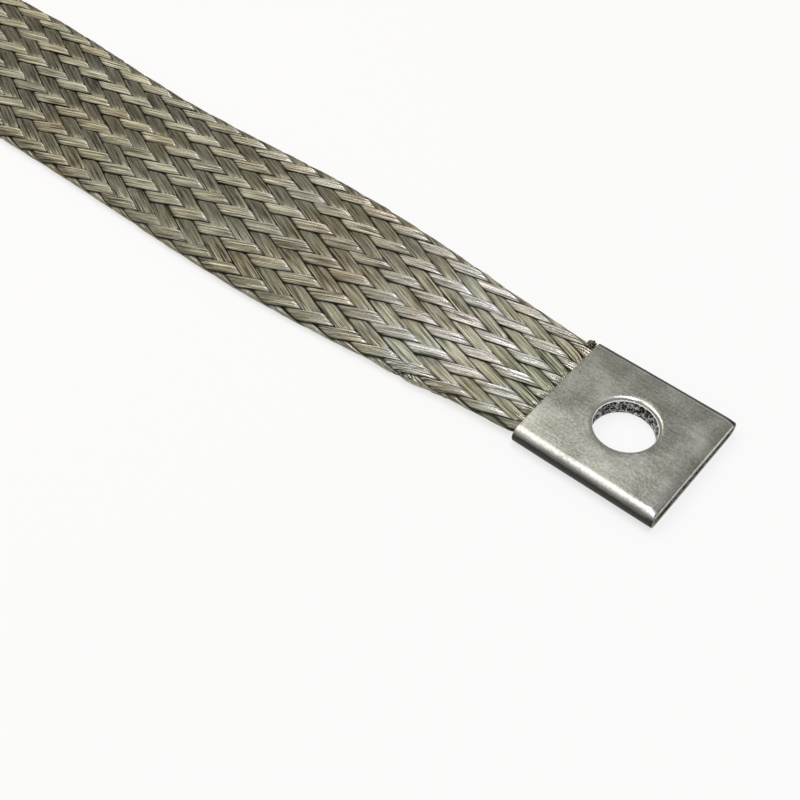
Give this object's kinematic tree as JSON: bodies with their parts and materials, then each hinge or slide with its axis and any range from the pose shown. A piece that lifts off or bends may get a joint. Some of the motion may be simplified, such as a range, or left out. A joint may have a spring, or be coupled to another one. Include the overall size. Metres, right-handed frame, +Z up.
{
  "type": "flexible busbar braid",
  "caption": "Flat flexible strap of woven tinned copper wire, its ends pressed into flat rectangular palms with a punched bolt hole in each.",
  "frame": {"origin": "on the plane that the strap lies on, under the middle of its box", "axes": "+X along the strap towards the right palm, +Y across it, +Z up out of the palms' upper faces"},
  "size_m": [0.25, 0.0332, 0.0038],
  "materials": {
    "braid": "woven tinned copper wire, satin",
    "palm": "pressed tinned copper, satin with fine rub marks"
  },
  "bodies": {
    "root": {"braid": "braid", "palm_left": "palm", "palm_right": "palm"}
  },
  "joints": []
}
